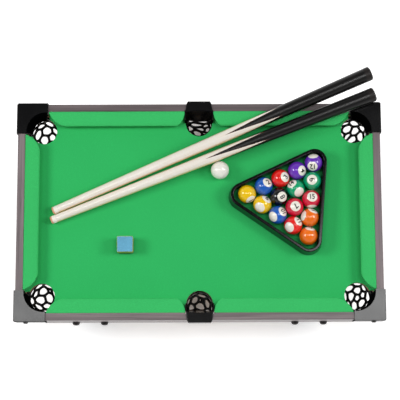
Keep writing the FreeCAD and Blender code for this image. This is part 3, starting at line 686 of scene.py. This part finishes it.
def digits_mesh(name, text, height):
    """Flat digits about the origin, divided finely enough to lie on a ball."""
    curve = bpy.data.curves.new(name, "FONT")
    curve.body = text
    curve.size = height * 1.36
    curve.align_x = "CENTER"
    curve.align_y = "CENTER"
    curve.offset = 0.22 * MM
    curve.space_character = 0.92
    words = bpy.data.objects.new(name, curve)
    bpy.context.scene.collection.objects.link(words)
    bpy.context.view_layer.update()
    flat = bpy.data.meshes.new_from_object(words.evaluated_get(bpy.context.evaluated_depsgraph_get()))
    bpy.data.objects.remove(words)
    bm = bmesh.new()
    bm.from_mesh(flat)
    bpy.data.meshes.remove(flat)
    bmesh.ops.remove_doubles(bm, verts=bm.verts, dist=0.01 * MM)
    bmesh.ops.triangulate(bm, faces=bm.faces)
    longest = 0.7 * MM
    for _ in range(4):
        long_edges = [e for e in bm.edges if e.calc_length() > longest]
        if not long_edges:
            break
        bmesh.ops.subdivide_edges(bm, edges=long_edges, cuts=1, use_grid_fill=True)
        bmesh.ops.triangulate(bm, faces=bm.faces)
    return bm


def add_digits(number, centre, radius, disc, top, material):
    """The number on a ball's disc, laid on the ball and let into it."""
    text = str(number)
    bm = digits_mesh(f"digits_{number:02d}", text, DIGIT_HEIGHT)
    up = (top - disc * top.dot(disc)).normalized()
    right = up.cross(disc)
    squeeze = 1.0 if len(text) == 1 else 0.86
    xs = [v.co.x for v in bm.verts]
    ys = [v.co.y for v in bm.verts]
    shift_x, shift_y = (max(xs) + min(xs)) / 2, (max(ys) + min(ys)) / 2
    for v in bm.verts:
        x, y = (v.co.x - shift_x) * squeeze, v.co.y - shift_y
        away = math.hypot(x, y)
        sideways = (right * x + up * y) / away if away > 1e-9 else Vector()
        turn = away / radius
        v.co = centre + (disc * math.cos(turn) + sideways * math.sin(turn)) * (radius + 0.03 * MM)
    for f in bm.faces:
        f.normal_update()
        if f.normal.dot(disc) < 0:
            f.normal_flip()
    mesh = bpy.data.meshes.new(f"digits_{number:02d}")
    bm.to_mesh(mesh)
    bm.free()
    obj = new_piece(f"ball_{number:02d}_number", mesh, f"ball_{number:02d}")
    solid = obj.modifiers.new("inlay", "SOLIDIFY")
    solid.thickness = 0.12 * MM
    solid.offset = -1
    paint(obj, material)


def plan_direction(x, y):
    """The upward unit vector with this plan, or the level one if it is a unit or longer."""
    flat = x * x + y * y
    return Vector((x, y, math.sqrt(max(0.0, 1 - flat)))).normalized()


def add_balls():
    colours = {
        1: srgb(240, 196, 8),
        2: srgb(24, 92, 186),
        3: srgb(232, 32, 26),
        4: srgb(104, 48, 182),
        5: srgb(238, 112, 16),
        6: srgb(0, 158, 106),
        7: srgb(212, 22, 58),
        8: srgb(6, 6, 6),
    }
    ink = rough_stuff("number_ink", srgb(16, 15, 16), 600.0, 0.004 * MM, 0.3, 0.5)
    for number in range(1, 16):
        node = f"ball_{number:02d}"
        low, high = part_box(node)
        centre = (low + high) / 2
        radius = (high.x - low.x) / 2
        if number in PLAIN_BALLS:
            disc_plan, (top_x, top_y) = PLAIN_BALLS[number]
            disc, top, cap = plan_direction(*disc_plan), Vector((top_x, top_y, 0)), None
            colour = colours[number]
        else:
            disc_plan, cap_plan, way = STRIPED_BALLS[number]
            disc, end = plan_direction(*disc_plan), plan_direction(*cap_plan)
            cap = (end - disc * end.dot(disc)).normalized()
            top = cap * way
            colour = colours[number - 8]
        paint(node, ball_finish(f"{node}_resin", colour, centre, disc, cap))
        add_digits(number, centre, radius, disc, top, ink)
    low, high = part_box("cue_ball")
    paint("cue_ball", ball_finish("cue_ball_resin", srgb(238, 236, 226), (low + high) / 2))


def middle_of(node):
    vertices = NODES[node].data.vertices
    return sum((v.co for v in vertices), Vector()) / len(vertices)


def middle_reach(node, middle, axis):
    """How far a node reaches back along an axis from its middle."""
    return max((middle - v.co).dot(axis) for v in NODES[node].data.vertices)


def add_cues():
    bumper = rough_stuff("bumper_rubber", srgb(30, 26, 25), 500.0, 0.03 * MM, 0.2, 0.45)
    for name, points in BUTT_POINTS.items():
        start = middle_of(f"{name}_cue_tip")
        axis = (middle_of(f"{name}_cue_bumper") - start).normalized()
        paint(f"{name}_cue_shaft", cue_finish(f"{name}_cue_lacquer", start, axis, points))
        end = start - axis * middle_reach(f"{name}_cue_tip", start, axis)
        paint(f"{name}_cue_tip", tip_finish(f"{name}_tip_leather", end, axis))
        paint(f"{name}_cue_bumper", bumper)


def add_chalk():
    """The chalk cube, its edges crumbled and its dish scuffed, and its paper."""
    source = NODES["chalk_cube"]
    rough = bpy.data.objects.new("rough_chalk", source.data.copy())
    bpy.context.scene.collection.objects.link(rough)
    weld = rough.modifiers.new("weld", "WELD")
    weld.merge_threshold = 0.002 * MM
    remesh = rough.modifiers.new("remesh", "REMESH")
    remesh.mode = "VOXEL"
    remesh.voxel_size = 0.45 * MM
    smooth = rough.modifiers.new("smooth", "SMOOTH")
    smooth.iterations = 3
    bpy.context.view_layer.update()
    mesh = bpy.data.meshes.new_from_object(rough.evaluated_get(bpy.context.evaluated_depsgraph_get()))
    bpy.data.objects.remove(rough)
    low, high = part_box("chalk_cube")
    middle = (low + high) / 2
    for v in mesh.vertices:
        edge_nearness = max(abs(v.co.x - middle.x), abs(v.co.y - middle.y)) / (high.x - middle.x)
        top_nearness = max(0.0, 1 - (high.z - v.co.z) / (3 * MM))
        crumble = max(0.0, edge_nearness - 0.8) * top_nearness * 5
        pits = noise.noise(v.co * 700) * 0.12 * MM + noise.noise(v.co * 260) * 0.25 * MM * top_nearness
        worn = abs(noise.noise(v.co * 330)) * 0.9 * MM * crumble + max(0, pits)
        v.co -= (v.co - middle).normalized() * worn
    obj = new_piece("worn_chalk", mesh, "chalk")
    paint(obj, rough_stuff("pressed_chalk", srgb(98, 160, 190), 700.0, 0.12 * MM, 0.3, 0.95))
    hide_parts("chalk_cube")
    low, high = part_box("chalk_label")
    paint("chalk_label", label_finish("chalk_paper", low, high))


def add_fittings():
    """Finishes of the carried-over CAD nodes of the table itself, and of the triangle."""
    grey_dark, grey_light = srgb(84, 73, 75), srgb(128, 116, 117)
    # Each side's rail is the same foil scaled by a painted light factor: the back rail is darker as
    # painted shade, and the right rail is lighter as painted light.
    for side, axis, painted_light_factor in (("front", 0, 1.0), ("back", 0, 0.88), ("left", 1, 1.0), ("right", 1, 1.3)):
        foil = wood(f"{side}_rail_foil", shade(grey_dark, painted_light_factor), shade(grey_light, painted_light_factor), axis)
        paint(f"{side}_apron", foil)
        soften(f"{side}_apron", 0.5 * MM)
    leg_finish = wood("leg_foil", srgb(44, 40, 41), srgb(70, 64, 65), 2)
    for key in CORNERS:
        paint(f"{key}_leg", leg_finish)
        soften(f"{key}_leg", 0.6 * MM)
    casting = plastic("casting_plastic", srgb(5, 5, 6), 0.17, gloss=0.3, lined=True)
    for key in (*CORNERS, "back_middle", "front_middle"):
        paint(f"{key}_casting", casting)
        soften(f"{key}_casting", 0.6 * MM, 3)
    paint("bed_board", rough_stuff("fibreboard", srgb(158, 128, 96), 380.0, 0.08 * MM, 0.18))
    paint("bed_cleats", wood("softwood", srgb(186, 146, 98), srgb(216, 182, 134), 0, 0.6, 0.0))
    black_steel = metal("black_steel", srgb(58, 56, 56), 0.36, 0.8)
    paint("leg_bolts", black_steel)
    paint("casting_screws", black_steel)
    zinc = metal("zinc", srgb(188, 190, 186), 0.32)
    paint("leg_nuts", zinc)
    paint("cleat_screws", zinc)
    paint("foot_pads", rough_stuff("pad_rubber", srgb(44, 44, 44), 420.0, 0.04 * MM, 0.2, 0.75))
    paint("rack", plastic("rack_plastic", srgb(3, 3, 4), 0.14, 0.01 * MM, 0.22))


# Stage, light and camera


def look_at(obj, target):
    obj.rotation_euler = (Vector(target) - obj.location).to_track_quat("-Z", "Y").to_euler()


def add_softbox(name, place, target, size, power):
    light = bpy.data.lights.new(name, "AREA")
    light.shape = "RECTANGLE"
    light.size, light.size_y = size
    light.energy = power
    obj = bpy.data.objects.new(name, light)
    obj.location = place
    bpy.context.scene.collection.objects.link(obj)
    look_at(obj, target)


def add_stage():
    bm = bmesh.new()
    bmesh.ops.create_grid(bm, x_segments=1, y_segments=1, size=FLOOR_HALF)
    floor = bpy.data.objects.new("floor", mesh_from(bm, "floor"))
    bpy.context.scene.collection.objects.link(floor)
    s = Shader("floor_paper", {"Roughness": 0.9, "Specular IOR Level": 0.1})
    paper = s.mix(s.noise(3.0, 2.0), srgb(244, 244, 244), srgb(250, 250, 250))
    s.out("Base Color", paper)
    s.out("Emission Color", paper)
    from_middle = s.vector("SUBTRACT", s.place, tuple(table_point(0, PAINTED_SHADOW_SHIFT, 0)))
    spread = s.vector("MULTIPLY", from_middle, (1 / PAINTED_SHADOW_HALF_LENGTH, 1 / PAINTED_SHADOW_HALF_WIDTH, 0))
    # Inside that oval the floor's glow fades to nothing: a painted shadow under the table.
    s.out("Emission Strength", s.between(s.vector("LENGTH", spread), 0.85, 1.02, 0.0, FLOOR_GLOW))
    floor.data.materials.append(s.material)
    target = table_point(0, 0, RAIL_TOP)
    aside = SOFTBOX_DISTANCE * math.sin(SOFTBOX_ANGLE)
    above = SOFTBOX_DISTANCE * math.cos(SOFTBOX_ANGLE)
    left_place = target + Vector((-aside, SOFTBOX_BACK, above))
    right_place = target + Vector((aside, SOFTBOX_BACK, above))
    add_softbox("left_softbox", left_place, target, SOFTBOX_SIZE, LEFT_SOFTBOX_POWER)
    add_softbox("right_softbox", right_place, target, SOFTBOX_SIZE, RIGHT_SOFTBOX_POWER)
    add_softbox("left_glow", target + Vector((-0.56, 0.02, 2.4)), target, (0.36, 0.5), 6.5)
    add_softbox("right_glow", target + Vector((0.64, 0.08, 2.4)), target, (0.5, 0.6), 11.0)
    world = bpy.data.worlds.new("studio")
    bpy.context.scene.world = world
    world.use_nodes = True
    nodes, links = world.node_tree.nodes, world.node_tree.links
    background = nodes["Background"]
    background.inputs["Color"].default_value = (1, 1, 1, 1)
    parts = nodes.new("ShaderNodeSeparateXYZ")
    links.new(nodes.new("ShaderNodeTexCoord").outputs["Generated"], parts.inputs[0])
    fade = nodes.new("ShaderNodeMapRange")
    links.new(parts.outputs[2], fade.inputs["Value"])
    for index, value in enumerate((*SKY_HEIGHTS, *SKY_STRENGTHS), start=1):
        fade.inputs[index].default_value = value
    links.new(fade.outputs[0], background.inputs["Strength"])
    bpy.context.scene.view_settings.view_transform = "Standard"


def add_camera():
    """From above the front, a little off the vertical."""
    camera = bpy.data.cameras.new("camera")
    camera.lens = CAMERA_LENS
    camera.clip_end = 20
    obj = bpy.data.objects.new("camera", camera)
    bpy.context.scene.collection.objects.link(obj)
    middle = table_point(0, 0, RAIL_TOP)
    back_and_up = Vector((0, -math.sin(CAMERA_TILT), math.cos(CAMERA_TILT)))
    obj.location = middle + back_and_up * CAMERA_DISTANCE
    look_at(obj, middle + Vector(CAMERA_AIM))
    bpy.context.scene.camera = obj


def main():
    add_bed_cloth(felt("bed_baize_cloth", srgb(48, 182, 97)))
    add_cushions(felt("cushion_baize_cloth", srgb(57, 186, 101)))
    add_nets(plastic("net_plastic", srgb(5, 5, 5), 0.4, gloss=0.15))
    add_fittings()
    add_balls()
    add_cues()
    add_chalk()
    add_stage()
    add_camera()


main()
